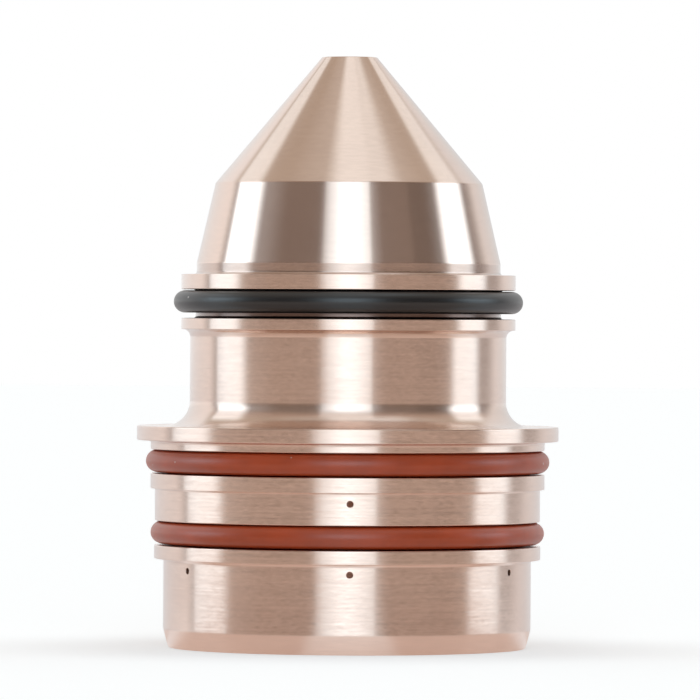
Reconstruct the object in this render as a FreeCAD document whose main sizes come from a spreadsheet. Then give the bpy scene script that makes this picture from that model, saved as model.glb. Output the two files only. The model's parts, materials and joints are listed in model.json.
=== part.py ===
"""A plasma torch nozzle, in millimetres: a turned copper body with three O-ring seals stretched on to it.

The body stands on its open rear end, at Z = 0, and its axis is +Z, towards the tip. The arc and the gas leave
through the orifice in the tip. From the rear end up, the outside is a plain skirt, a gland for the rear seal, a land
with a collar, a gland for the middle seal, the flange that the torch clamps, a waist that coolant flows round, a
gland for the front seal, and the nose: a neck, a slight taper and the cone. Inside is one stepped bore: the rear
bore, the bore for the swirl ring, a seat, the chamber that the electrode stands in, and the orifice.
"""

import FreeCAD, Part
import math
import os

import Sketcher
from FreeCAD import Vector

# Driving sizes

SIZES = [
    # Lengths along the axis, from the rear end up
    ("skirt_height", 7.1),
    ("rear_land_width", 1.1),
    ("port_land_height", 2.57),
    ("collar_height", 1.22),
    ("seat_land_height", 0.74),
    ("flange_thickness", 1.16),
    ("waist_height", 7.7),
    ("lip_thickness", 0.9),
    ("shoulder_thickness", 1.22),
    ("neck_height", 0.9),
    ("taper_height", 6.4),
    # Diameters, and steps on the radius from one of them to the next
    ("skirt_diameter", 29.4),
    ("rear_land_step", 0.75),
    ("port_land_step", 0.7),
    ("collar_step", 0.36),
    ("flange_step", 1.1),
    ("waist_diameter", 25.3),
    ("lip_step", 0.72),
    ("neck_step", 0.5),
    ("tip_diameter", 4.4),
    # Angles from the axis
    ("lead_in_angle", 15),
    ("taper_angle", 13),
    ("cone_angle", 40),
    ("seat_angle", 45),
    # The seals and their glands
    ("seal_section", 1.78),
    ("seal_flat", 0.03),
    ("rear_seal_proud", 0.29),
    ("rear_gap_below", 0.1),
    ("rear_gap_above", 0.05),
    ("middle_seal_proud", 0.38),
    ("middle_gap_below", 0.08),
    ("middle_gap_above", 0.03),
    ("front_seal_proud", 0.6),
    ("front_gap_below", 0.42),
    ("front_gap_above", 0.08),
    ("gland_bevel", 0.12),
    # The bore, from the rear end up
    ("skirt_wall", 2.0),
    ("rear_bore_overshoot", 0.7),
    ("relief_width", 0.8),
    ("relief_depth", 0.3),
    ("waist_wall", 2.35),
    ("seat_width", 3.3),
    ("chamber_length", 7.1),
    ("orifice_diameter", 1.8),
    ("orifice_length", 3.9),
    # The two rows of gas ports
    ("port_diameter", 0.5),
    ("skirt_port_count", 6),
    ("skirt_port_drop", 0.8),
    ("land_port_count", 3),
    ("land_port_drop", 0.85),
    # Edges
    ("lead_in_height", 1.5),
    ("mouth_chamfer", 0.5),
    ("orifice_chamfer", 0.15),
    ("cove_radius", 2.0),
    ("lip_radius", 0.6),
    ("step_bevel", 0.15),
    ("edge_break", 0.1),
]

SAME_PLACE = 1e-4


class Measure:
    """A number worked out from the driving sizes, kept with the expression that works it out in the sheet."""

    def __init__(self, number, text):
        self.number = number
        self.text = text

    def __float__(self):
        return float(self.number)

    def __add__(self, other):
        return Measure(float(self) + float(other), f"({self.text} + {as_text(other)})")

    def __sub__(self, other):
        return Measure(float(self) - float(other), f"({self.text} - {as_text(other)})")

    def __mul__(self, other):
        return Measure(float(self) * float(other), f"{self.text} * {as_text(other)}")

    def __truediv__(self, other):
        return Measure(float(self) / float(other), f"{self.text} / {as_text(other)}")


def as_text(value):
    """The expression for a measure, or for a plain number."""
    return value.text if isinstance(value, Measure) else repr(value)


def tangent(angle):
    """The tangent of an angle in degrees."""
    return Measure(math.tan(math.radians(float(angle))), f"tan({angle.text} * 1 deg)")


def make_sheet(document):
    """The sheet of driving sizes: names in column A, numbers in column B."""
    sheet = document.addObject("Spreadsheet::Sheet", "Sizes")
    for row, (name, number) in enumerate(SIZES, 1):
        sheet.set(f"A{row}", name)
        sheet.set(f"B{row}", str(number))
        sheet.setAlias(f"B{row}", name)
    document.recompute()
    return sheet


doc = FreeCAD.newDocument("PlasmaTorchNozzle")
sizes = make_sheet(doc)


def size(name):
    """A driving size from the sheet."""
    return Measure(sizes.get(name), f"Sizes.{name}")


# Heights above the rear end

LEVEL = {"base": Measure(0.0, "0")}


def stack(name, below, thickness):
    """Puts one more section on top of the one below, and notes the height of its top."""
    LEVEL[name] = LEVEL[below] + thickness


def gland_width(seal):
    """A gland is as wide as the seal's section and the gaps that are left below and above it."""
    return size("seal_section") + size(f"{seal}_gap_below") + size(f"{seal}_gap_above")


stack("skirt", "base", size("skirt_height"))
stack("rear_land", "skirt", size("rear_land_width"))
stack("rear_gland", "rear_land", gland_width("rear"))
stack("port_land", "rear_gland", size("port_land_height"))
stack("collar", "port_land", size("collar_height"))
stack("middle_gland", "collar", gland_width("middle"))
stack("seat_land", "middle_gland", size("seat_land_height"))
stack("flange", "seat_land", size("flange_thickness"))
stack("waist", "flange", size("waist_height"))
stack("lip", "waist", size("lip_thickness"))
stack("front_gland", "lip", gland_width("front"))
stack("shoulder", "front_gland", size("shoulder_thickness"))
stack("neck", "shoulder", size("neck_height"))
stack("taper", "neck", size("taper_height"))

# Radii of the outside

RADIUS = {"skirt": size("skirt_diameter") / 2, "waist": size("waist_diameter") / 2, "tip": size("tip_diameter") / 2}
RADIUS["foot"] = RADIUS["skirt"] - size("lead_in_height") * tangent(size("lead_in_angle"))
RADIUS["rear_land"] = RADIUS["skirt"] + size("rear_land_step")
RADIUS["port_land"] = RADIUS["skirt"] + size("port_land_step")
RADIUS["collar"] = RADIUS["port_land"] + size("collar_step")
RADIUS["flange"] = RADIUS["collar"] + size("flange_step")
RADIUS["lip"] = RADIUS["waist"] + size("lip_step")
RADIUS["neck"] = RADIUS["waist"] - size("neck_step")
RADIUS["taper"] = RADIUS["neck"] - size("taper_height") * tangent(size("taper_angle"))

stack("tip", "taper", (RADIUS["taper"] - RADIUS["tip"]) / tangent(size("cone_angle")))

# Each gland: the land whose surface its seal stands proud of, and the sections below and above it

GLANDS = {
    "rear": ("rear_land", "rear_land", "rear_gland"),
    "middle": ("collar", "collar", "middle_gland"),
    "front": ("lip", "lip", "front_gland"),
}


def gland_floor(seal):
    """The radius of a gland's floor, which lets the seal stand as proud of its land as it should."""
    land = RADIUS[GLANDS[seal][0]]
    return land + size(f"{seal}_seal_proud") - (size("seal_section") - size("seal_flat"))


# Radii and heights of the bore

RADIUS["rear_bore"] = RADIUS["skirt"] - size("skirt_wall")
RADIUS["relief"] = RADIUS["rear_bore"] + size("relief_depth")
RADIUS["swirl_bore"] = RADIUS["waist"] - size("waist_wall")
RADIUS["chamber"] = RADIUS["swirl_bore"] - size("seat_width")
RADIUS["orifice"] = size("orifice_diameter") / 2

LEVEL["rear_bore"] = LEVEL["port_land"] + size("rear_bore_overshoot")
LEVEL["relief"] = LEVEL["rear_bore"] - size("relief_width")
LEVEL["orifice"] = LEVEL["tip"] - size("orifice_length")
LEVEL["chamber"] = LEVEL["orifice"] - (RADIUS["chamber"] - RADIUS["orifice"]) / tangent(size("cone_angle"))
LEVEL["seat"] = LEVEL["chamber"] - size("chamber_length")
LEVEL["swirl_bore"] = LEVEL["seat"] - size("seat_width") / tangent(size("seat_angle"))

AXIS = Measure(0.0, "0")


# Helpers for bodies, sketches and turned features


def origin_feature(body, role):
    """A body's own origin plane or axis."""
    return next(feature for feature in body.Origin.OriginFeatures if feature.Role == role)


def new_body(label):
    """An empty body with the name that its file gets."""
    body = doc.addObject("PartDesign::Body", label)
    body.Label = label
    return body


def new_sketch(body, name):
    """A sketch on the body's XZ plane: across is the radius, and up is the height."""
    sketch = body.newObject("Sketcher::SketchObject", name)
    sketch.AttachmentSupport = [(origin_feature(body, "XZ_Plane"), "")]
    sketch.MapMode = "FlatFace"
    return sketch


def bind(sketch, kind, place, measure, name):
    """Adds a distance or radius to a sketch and ties it to the sheet."""
    number = sketch.addConstraint(Sketcher.Constraint(kind, *place, float(measure)))
    sketch.renameConstraint(number, name)
    sketch.setExpression(f"Constraints.{name}", measure.text)


def pin_point(sketch, geometry, end, across, up, name):
    """Holds a point at its distances from the sketch's origin. A point on an axis stays on that axis."""
    origin, upright_axis, level_axis = -1, -2, -1
    if across.text == AXIS.text:
        sketch.addConstraint(Sketcher.Constraint("PointOnObject", geometry, end, upright_axis))
    else:
        bind(sketch, "DistanceX", (origin, 1, geometry, end), across, f"{name}_across")
    if up.text == AXIS.text:
        sketch.addConstraint(Sketcher.Constraint("PointOnObject", geometry, end, level_axis))
    else:
        bind(sketch, "DistanceY", (origin, 1, geometry, end), up, f"{name}_up")


def outline(body, name, corners):
    """A closed outline through named corners, each a radius and a height."""
    sketch = new_sketch(body, name)
    points = [Vector(float(across), float(up), 0) for _, across, up in corners]
    following = list(range(1, len(corners))) + [0]
    for corner, after in enumerate(following):
        sketch.addGeometry(Part.LineSegment(points[corner], points[after]))
    for corner, after in enumerate(following):
        sketch.addConstraint(Sketcher.Constraint("Coincident", corner, 2, after, 1))
    for corner, (label, across, up) in enumerate(corners):
        pin_point(sketch, corner, 1, across, up, label)
    return sketch


def turned(body, kind, name, sketch):
    """Turns a sketch once round the axis, to add metal (Revolution) or to cut it away (Groove)."""
    feature = body.newObject(f"PartDesign::{kind}", name)
    feature.Profile = sketch
    feature.ReferenceAxis = (sketch, ["V_Axis"])
    feature.Angle = 360
    before = body_volume(body)
    doc.recompute()
    changed = body_volume(body) - before
    if (changed <= 0) if kind == "Revolution" else (changed >= 0):
        raise RuntimeError(f"{name} changed the volume by {changed:.3f} mm3")
    return feature


def body_volume(body):
    """The volume of what a body holds so far."""
    return 0.0 if body.Shape.isNull() else body.Shape.Volume


def round_edges(shape, places):
    """The names of the edges that run right round the axis at these radii and heights."""
    names = []
    for number, edge in enumerate(shape.Edges, 1):
        if not isinstance(edge.Curve, Part.Circle):
            continue
        for across, up in places:
            apart = abs(edge.Curve.Radius - float(across)) + abs(edge.Curve.Center.z - float(up))
            if apart < SAME_PLACE:
                names.append(f"Edge{number}")
    if len(names) != len(places):
        raise RuntimeError(f"{len(places)} edges were looked for and {len(names)} were found")
    return names


def dress(body, kind, name, places, size_property, measure):
    """Rounds (Fillet) or bevels (Chamfer) the edges at these radii and heights."""
    base = body.Tip
    feature = body.newObject(f"PartDesign::{kind}", name)
    feature.Base = (base, round_edges(base.Shape, places))
    setattr(feature, size_property, float(measure))
    feature.setExpression(size_property, measure.text)
    doc.recompute()
    return feature


# The copper body

nozzle = new_body("nozzle_body")

blank_corners = [
    ("base_centre", AXIS, AXIS),
    ("foot", RADIUS["foot"], AXIS),
    ("skirt_foot", RADIUS["skirt"], size("lead_in_height")),
    ("skirt_top", RADIUS["skirt"], LEVEL["skirt"]),
    ("rear_land_foot", RADIUS["rear_land"], LEVEL["skirt"]),
    ("rear_land_top", RADIUS["rear_land"], LEVEL["rear_land"]),
    ("port_land_foot", RADIUS["port_land"], LEVEL["rear_land"]),
    ("port_land_top", RADIUS["port_land"], LEVEL["port_land"]),
    ("collar_foot", RADIUS["collar"], LEVEL["port_land"]),
    ("seat_land_top", RADIUS["collar"], LEVEL["seat_land"]),
    ("flange_foot", RADIUS["flange"], LEVEL["seat_land"]),
    ("flange_top", RADIUS["flange"], LEVEL["flange"]),
    ("waist_foot", RADIUS["waist"], LEVEL["flange"]),
    ("waist_top", RADIUS["waist"], LEVEL["waist"]),
    ("lip_foot", RADIUS["lip"], LEVEL["waist"]),
    ("shoulder_top", RADIUS["lip"], LEVEL["shoulder"]),
    ("neck_foot", RADIUS["neck"], LEVEL["shoulder"]),
    ("neck_top", RADIUS["neck"], LEVEL["neck"]),
    ("taper_top", RADIUS["taper"], LEVEL["taper"]),
    ("tip_edge", RADIUS["tip"], LEVEL["tip"]),
    ("tip_centre", AXIS, LEVEL["tip"]),
]
turned(nozzle, "Revolution", "TurnedBlank", outline(nozzle, "BlankOutline", blank_corners))

# The glands: square grooves that open outwards, cut a little past the larger land beside them

for seal, (land, below, above) in GLANDS.items():
    floor = gland_floor(seal)
    mouth = RADIUS["flange"]
    gland_corners = [
        ("floor_below", floor, LEVEL[below]),
        ("mouth_below", mouth, LEVEL[below]),
        ("mouth_above", mouth, LEVEL[above]),
        ("floor_above", floor, LEVEL[above]),
    ]
    turned(nozzle, "Groove", f"{seal.title()}Gland", outline(nozzle, f"{seal.title()}GlandOutline", gland_corners))

# The stepped bore, with a relief at the end of the rear bore so that a square part seats on its shoulder

bore_corners = [
    ("mouth_centre", AXIS, AXIS),
    ("mouth", RADIUS["rear_bore"], AXIS),
    ("relief_mouth", RADIUS["rear_bore"], LEVEL["relief"]),
    ("relief_foot", RADIUS["relief"], LEVEL["relief"]),
    ("relief_top", RADIUS["relief"], LEVEL["rear_bore"]),
    ("swirl_foot", RADIUS["swirl_bore"], LEVEL["rear_bore"]),
    ("swirl_top", RADIUS["swirl_bore"], LEVEL["swirl_bore"]),
    ("chamber_foot", RADIUS["chamber"], LEVEL["seat"]),
    ("chamber_top", RADIUS["chamber"], LEVEL["chamber"]),
    ("orifice_foot", RADIUS["orifice"], LEVEL["orifice"]),
    ("orifice_top", RADIUS["orifice"], LEVEL["tip"]),
    ("orifice_centre", AXIS, LEVEL["tip"]),
]
turned(nozzle, "Groove", "SteppedBore", outline(nozzle, "BoreOutline", bore_corners))

# Fillets in the two inner corners of the waist, and small bevels in the other inner corners

cove = [(RADIUS["waist"], LEVEL["flange"])]
dress(nozzle, "Fillet", "FlangeCove", cove, "Radius", size("cove_radius"))

under_lip = [(RADIUS["waist"], LEVEL["waist"])]
dress(nozzle, "Fillet", "LipFillet", under_lip, "Radius", size("lip_radius"))

step_corners = [
    (RADIUS["skirt"], LEVEL["skirt"]),
    (RADIUS["port_land"], LEVEL["port_land"]),
    (RADIUS["collar"], LEVEL["seat_land"]),
    (RADIUS["neck"], LEVEL["shoulder"]),
]
dress(nozzle, "Chamfer", "StepBevels", step_corners, "Size", size("step_bevel"))

floor_corners = []
for seal, (land, below, above) in GLANDS.items():
    floor_corners.append((gland_floor(seal), LEVEL[below]))
    floor_corners.append((gland_floor(seal), LEVEL[above]))
dress(nozzle, "Chamfer", "GlandBevels", floor_corners, "Size", size("gland_bevel"))

# Bevels on the sharp edges

mouth_edge = [(RADIUS["rear_bore"], AXIS)]
dress(nozzle, "Chamfer", "MouthChamfer", mouth_edge, "Size", size("mouth_chamfer"))

orifice_edge = [(RADIUS["orifice"], LEVEL["tip"])]
dress(nozzle, "Chamfer", "OrificeChamfer", orifice_edge, "Size", size("orifice_chamfer"))

outer_edges = [
    (RADIUS["rear_land"], LEVEL["skirt"]),
    (RADIUS["rear_land"], LEVEL["rear_land"]),
    (RADIUS["port_land"], LEVEL["rear_gland"]),
    (RADIUS["collar"], LEVEL["port_land"]),
    (RADIUS["collar"], LEVEL["collar"]),
    (RADIUS["collar"], LEVEL["middle_gland"]),
    (RADIUS["flange"], LEVEL["seat_land"]),
    (RADIUS["flange"], LEVEL["flange"]),
    (RADIUS["lip"], LEVEL["waist"]),
    (RADIUS["lip"], LEVEL["lip"]),
    (RADIUS["lip"], LEVEL["front_gland"]),
    (RADIUS["lip"], LEVEL["shoulder"]),
    (RADIUS["tip"], LEVEL["tip"]),
]
dress(nozzle, "Chamfer", "EdgeBreaks", outer_edges, "Size", size("edge_break"))

# The gas ports: two rows of small radial holes through the wall of the rear bore


def port_row(name, height, count):
    """Drills one port towards the front, and repeats it round the axis."""
    sketch = new_sketch(nozzle, f"{name}Sketch")
    centre = Vector(0, float(height), 0)
    circle = sketch.addGeometry(Part.Circle(centre, Vector(0, 0, 1), float(size("port_diameter")) / 2))
    pin_point(sketch, circle, 3, AXIS, height, "centre")
    bind(sketch, "Diameter", (circle,), size("port_diameter"), "port")
    drilled = nozzle.newObject("PartDesign::Pocket", f"{name}Drilled")
    drilled.Profile = sketch
    drilled.Type = "Length"
    drilled.Length = float(RADIUS["flange"])
    drilled.setExpression("Length", RADIUS["flange"].text)
    drilled.Reversed = True
    before = body_volume(nozzle)
    doc.recompute()
    one_port = before - body_volume(nozzle)
    row = nozzle.newObject("PartDesign::PolarPattern", name)
    row.Originals = [drilled]
    row.Axis = (origin_feature(nozzle, "Z_Axis"), [""])
    row.Angle = 360
    row.Occurrences = int(float(count))
    row.setExpression("Occurrences", count.text)
    nozzle.Tip = row
    doc.recompute()
    all_ports = before - body_volume(nozzle)
    if one_port <= 0 or abs(all_ports - one_port * float(count)) > one_port / 2:
        raise RuntimeError(f"{name}: one port took {one_port:.4f} mm3 and the row took {all_ports:.4f} mm3")


port_row("SkirtPorts", LEVEL["skirt"] - size("skirt_port_drop"), size("skirt_port_count"))
port_row("LandPorts", LEVEL["port_land"] - size("land_port_drop"), size("land_port_count"))


# The seals: O-rings, round in section but for the narrow flat where each one grips the floor of its gland


def o_ring(label, seal):
    """An O-ring stretched on to the floor of its gland, just under the gland's upper wall."""
    ring = new_body(label)
    floor = gland_floor(seal)
    section = size("seal_section") / 2
    middle = floor + section - size("seal_flat")
    half_flat = math.sqrt(float(section) ** 2 - (float(section) - float(size("seal_flat"))) ** 2)
    half_turn = math.pi - math.asin(half_flat / float(section))

    sketch = new_sketch(ring, f"{label}_section")
    circle = Part.Circle(Vector(float(middle), 0, 0), Vector(0, 0, 1), float(section))
    sketch.addGeometry(Part.ArcOfCircle(circle, -half_turn, half_turn))
    upper = Vector(float(floor), half_flat, 0)
    lower = Vector(float(floor), -half_flat, 0)
    sketch.addGeometry(Part.LineSegment(upper, lower))
    arc, flat = 0, 1
    sketch.addConstraint(Sketcher.Constraint("Coincident", arc, 2, flat, 1))
    sketch.addConstraint(Sketcher.Constraint("Coincident", flat, 2, arc, 1))
    sketch.addConstraint(Sketcher.Constraint("Vertical", flat))
    pin_point(sketch, arc, 3, middle, AXIS, "middle")
    bind(sketch, "Radius", (arc,), section, "section")
    bind(sketch, "DistanceX", (-1, 1, flat, 1), floor, "floor")
    turned(ring, "Revolution", f"{label}_turned", sketch)

    height = LEVEL[GLANDS[seal][2]] - size(f"{seal}_gap_above") - section
    ring.Placement.Base.z = float(height)
    ring.setExpression("Placement.Base.z", height.text)
    return ring


seals = [
    o_ring("rear_o_ring", "rear"),
    o_ring("middle_o_ring", "middle"),
    o_ring("front_o_ring", "front"),
]

# Checks, and one file for each piece

doc.recompute()
for item in doc.Objects:
    if {"Invalid", "Error"} & set(item.State):
        raise RuntimeError(f"{item.Label} could not be worked out: {item.State}")

os.makedirs("parts", exist_ok=True)
for piece in [nozzle, *seals]:
    if piece.Shape.isNull() or not piece.Shape.isValid():
        raise RuntimeError(f"{piece.Label} has no valid shape")
    if len(piece.Shape.Solids) != 1:
        raise RuntimeError(f"{piece.Label} has {len(piece.Shape.Solids)} solids")
    piece.Shape.exportStep(f"parts/{piece.Label}.step")
    box = piece.Shape.BoundBox
    print(f"{piece.Label}: {piece.Shape.Volume:.2f} mm3, {box.XLength:.2f} x {box.YLength:.2f} mm,"
          f" height {box.ZMin:.3f} to {box.ZMax:.3f} mm")
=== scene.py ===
# %% [markdown]
# # A plasma torch nozzle in turned copper
# The object is a small copper nozzle, 47 mm tall, that stands on its open rear end with three O-rings in its
# glands. It was made on a lathe, so almost everything here is a line carried once round an axis. The interest
# lies in the edges, which are all broken by a hair, and in the finish: a lathe leaves fine grooves that run
# round the part, and they smear every reflection up and down while they keep it sharp from side to side.

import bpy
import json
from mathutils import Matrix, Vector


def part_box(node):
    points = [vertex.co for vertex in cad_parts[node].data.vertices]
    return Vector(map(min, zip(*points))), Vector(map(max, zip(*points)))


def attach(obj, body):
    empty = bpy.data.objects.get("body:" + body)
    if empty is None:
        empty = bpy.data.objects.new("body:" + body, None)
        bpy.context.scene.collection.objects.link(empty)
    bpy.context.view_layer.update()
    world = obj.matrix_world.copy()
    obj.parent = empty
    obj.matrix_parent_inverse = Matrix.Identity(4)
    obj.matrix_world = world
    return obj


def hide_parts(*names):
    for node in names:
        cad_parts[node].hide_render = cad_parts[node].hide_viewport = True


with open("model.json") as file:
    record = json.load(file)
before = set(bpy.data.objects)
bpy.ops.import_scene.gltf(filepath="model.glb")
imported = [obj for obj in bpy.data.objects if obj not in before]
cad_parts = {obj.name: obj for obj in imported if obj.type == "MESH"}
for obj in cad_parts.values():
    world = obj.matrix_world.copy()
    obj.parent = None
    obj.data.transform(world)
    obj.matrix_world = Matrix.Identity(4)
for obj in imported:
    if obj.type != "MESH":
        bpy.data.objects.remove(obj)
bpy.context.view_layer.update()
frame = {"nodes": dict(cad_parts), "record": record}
print("nodes:", sorted(frame["nodes"]))

# %% [markdown]
# Blender works in metres and the drawing is in millimetres, so the sizes below are written as a maker would
# write them and turned into metres once, when a mesh is made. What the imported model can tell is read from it:
# the box of each O-ring gives its section and its place, and the mounts give the bores.

# %% Units and what the model tells
import json
import math

import bpy
import numpy as np
from mathutils import Matrix, Vector

MM = 0.001


def box_mm(node):
    """Lowest and highest corner of a CAD node, in millimetres."""
    low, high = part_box(node)
    return np.array(low) / MM, np.array(high) / MM


mounts = {mount["name"]: mount for mount in frame["record"]["mounts"]}
body_low, body_high = box_mm("nozzle_body")
flange_radius = body_high[0]
tip_height = body_high[2]
print(f"flange radius {flange_radius:.2f} mm, tip at {tip_height:.2f} mm")


def bore_radius(mount):
    """The radius of a stated bore or pin."""
    return mounts[mount]["dims"]["r_mm"]


# %% [markdown]
# ## The outline of the body
# A lathe cuts a profile: radius against height. The profile is written as corners, each with the radius of
# the tool or of the broken edge that rounds it. Heights are stacked from the rear end up, as they would be
# dimensioned on the drawing. Rounding the corners in the profile, and not with a Bevel modifier, lets each
# arc have its own radius and gives exact normals for free.

# %% Heights of the sections, from the rear end up
SKIRT, REAR_LAND, PORT_LAND, COLLAR, SEAT_LAND, FLANGE = 7.1, 1.1, 2.57, 1.22, 0.74, 1.16
WAIST, LIP, SHOULDER, NECK, TAPER = 7.7, 0.9, 1.22, 0.9, 6.4
RING_SECTION = 1.78
REAR_GAPS, MIDDLE_GAPS, FRONT_GAPS = (0.1, 0.05), (0.08, 0.03), (0.42, 0.08)

z_skirt = SKIRT
z_rear_land = z_skirt + REAR_LAND
z_rear_gland = z_rear_land + RING_SECTION + sum(REAR_GAPS)
z_port_land = z_rear_gland + PORT_LAND
z_collar = z_port_land + COLLAR
z_middle_gland = z_collar + RING_SECTION + sum(MIDDLE_GAPS)
z_seat_land = z_middle_gland + SEAT_LAND
z_flange = z_seat_land + FLANGE
z_waist = z_flange + WAIST
z_lip = z_waist + LIP
z_front_gland = z_lip + RING_SECTION + sum(FRONT_GAPS)
z_shoulder = z_front_gland + SHOULDER
z_neck = z_shoulder + NECK
z_taper = z_neck + TAPER
print(f"the flange's front face is at {z_flange:.2f} mm and the neck ends at {z_neck:.2f} mm")

# %% Radii of the sections
LEAD_IN_HEIGHT, LEAD_IN_ANGLE, TAPER_ANGLE, CONE_ANGLE, SEAT_ANGLE = 1.5, 15, 13, 40, 45
FLANGE_STEP, COLLAR_STEP, PORT_LAND_STEP, REAR_LAND_STEP = 1.1, 0.36, 0.7, 0.75
LIP_STEP, NECK_STEP, WAIST_WALL = 0.72, 0.5, 2.35
TIP_RADIUS = 2.2


def slope(degrees):
    """How far a surface at this angle from the axis moves in or out for each millimetre along it."""
    return math.tan(math.radians(degrees))


r_skirt = bore_radius("rear_skirt")
r_foot = r_skirt - LEAD_IN_HEIGHT * slope(LEAD_IN_ANGLE)
r_rear_land = r_skirt + REAR_LAND_STEP
r_port_land = r_skirt + PORT_LAND_STEP
r_collar = r_port_land + COLLAR_STEP
r_flange = r_collar + FLANGE_STEP
r_waist = bore_radius("swirl_ring_bore") + WAIST_WALL
r_lip = r_waist + LIP_STEP
r_neck = r_waist - NECK_STEP
r_taper = r_neck - TAPER * slope(TAPER_ANGLE)
z_tip = z_taper + (r_taper - TIP_RADIUS) / slope(CONE_ANGLE)
print(f"flange radius {r_flange:.2f} mm for {flange_radius:.2f} mm in the model")
print(f"tip at {z_tip:.2f} mm for {tip_height:.2f} mm in the model")

# %% Radii and heights of the bore
RELIEF_WIDTH, RELIEF_DEPTH, REAR_BORE_OVERSHOOT, MOUTH_CHAMFER = 0.8, 0.3, 0.7, 0.5
CHAMBER_LENGTH, ORIFICE_LENGTH, ORIFICE_CHAMFER = 7.1, 3.9, 0.15

r_bore = bore_radius("rear_bore")
r_swirl = bore_radius("swirl_ring_bore")
r_chamber = bore_radius("electrode_chamber")
r_orifice = bore_radius("orifice")
z_bore = z_port_land + REAR_BORE_OVERSHOOT
z_relief = z_bore - RELIEF_WIDTH
z_orifice = z_tip - ORIFICE_LENGTH
z_chamber = z_orifice - (r_chamber - r_orifice) / slope(CONE_ANGLE)
z_seat = z_chamber - CHAMBER_LENGTH
z_swirl = z_seat - (r_swirl - r_chamber) / slope(SEAT_ANGLE)
print(f"the bore steps in at {z_bore:.2f}, {z_swirl:.2f} and {z_chamber:.2f} mm")

# %% [markdown]
# The glands are as deep as their rings need. Each ring is stretched on to the floor of its gland, so the
# floor's radius is the smallest radius of the ring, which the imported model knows.

# %% The rings and the floors of their glands


def ring_facts(node):
    """Middle radius, section radius and height of an O-ring, and the radius of the floor that it grips."""
    low, high = box_mm(node)
    section = (high[2] - low[2]) / 2
    vertices = np.empty(len(frame["nodes"][node].data.vertices) * 3)
    frame["nodes"][node].data.vertices.foreach_get("co", vertices)
    floor = np.hypot(*vertices.reshape(-1, 3)[:, :2].T).min() / MM
    return {
        "middle": high[0] - section,
        "section": section,
        "height": (high[2] + low[2]) / 2,
        "floor": round(floor, 3),
    }


rings = {node: ring_facts(node) for node in ("rear_o_ring", "middle_o_ring", "front_o_ring")}
for node, facts in rings.items():
    print(node, {name: round(float(value), 3) for name, value in facts.items()})

# %% [markdown]
# The small holes in the skirt and in the land above it are gas ports. A strip of the profile on both sides of
# each port gets extra rows, so that later a square patch of the grid can make room for the hole.

# %% The ports
PORT_RADIUS, PORT_RIM = 0.25, 0.04
SKIRT_PORT_DROP, LAND_PORT_DROP = 0.8, 0.85
PORTS_ROUND, FIRST_PORT = 6, -90
PATCH_HALF, PATCH_CELLS = 0.5, 8

z_skirt_ports = z_skirt - SKIRT_PORT_DROP
z_land_ports = z_port_land - LAND_PORT_DROP
port_azimuths = np.radians(FIRST_PORT + 360 / PORTS_ROUND * np.arange(PORTS_ROUND))
patch_steps = np.linspace(-PATCH_HALF, PATCH_HALF, PATCH_CELLS + 1)
print(f"ports at {z_skirt_ports:.2f} and {z_land_ports:.2f} mm")


def patch_rows(radius, height):
    """Profile points on a straight wall, at the rows of a port's patch. They turn no corner: rounding 0."""
    return [(radius, height + step, 0) for step in patch_steps]


# %% The corners of the profile
COVE, UNDER_LIP, STEP_FILLET, GLAND_CORNER = 2.0, 0.6, 0.25, 0.2
FINE_EDGE, EDGE, OUTER_RIM = 0.05, 0.09, 0.12
LEAD_IN_ROUND, NECK_ROUND, CONE_ROUND, CHAMBER_ROUND, BORE_ROUND = 0.6, 0.5, 0.3, 1.0, 0.4
TOOL_NOSE, BORE_EDGE, MOUTH_EDGE = 0.2, 0.1, 0.15


def gland(node, land_below, z_below, land_above, z_above):
    """The four corners of a gland: its lower edge, the two corners of its floor and its upper edge."""
    floor = rings[node]["floor"]
    return [(land_below, z_below, EDGE), (floor, z_below, GLAND_CORNER),
            (floor, z_above, GLAND_CORNER), (land_above, z_above, EDGE)]


outside = [
    (r_foot, 0, OUTER_RIM),
    (r_skirt, LEAD_IN_HEIGHT, LEAD_IN_ROUND),
    *patch_rows(r_skirt, z_skirt_ports),
    (r_skirt, z_skirt, STEP_FILLET),
    (r_rear_land, z_skirt, FINE_EDGE),
    *gland("rear_o_ring", r_rear_land, z_rear_land, r_port_land, z_rear_gland),
    *patch_rows(r_port_land, z_land_ports),
    (r_port_land, z_port_land, STEP_FILLET / 2),
    (r_collar, z_port_land, FINE_EDGE),
    *gland("middle_o_ring", r_collar, z_collar, r_collar, z_middle_gland),
    (r_collar, z_seat_land, STEP_FILLET),
    (r_flange, z_seat_land, EDGE),
    (r_flange, z_flange, EDGE),
    (r_waist, z_flange, COVE),
    (r_waist, z_waist, UNDER_LIP),
    (r_lip, z_waist, FINE_EDGE),
    *gland("front_o_ring", r_lip, z_lip, r_lip, z_front_gland),
    (r_lip, z_shoulder, FINE_EDGE),
    (r_neck, z_shoulder, STEP_FILLET),
    (r_neck, z_neck, NECK_ROUND),
    (r_taper, z_taper, CONE_ROUND),
    (TIP_RADIUS, z_tip, OUTER_RIM),
]
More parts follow.
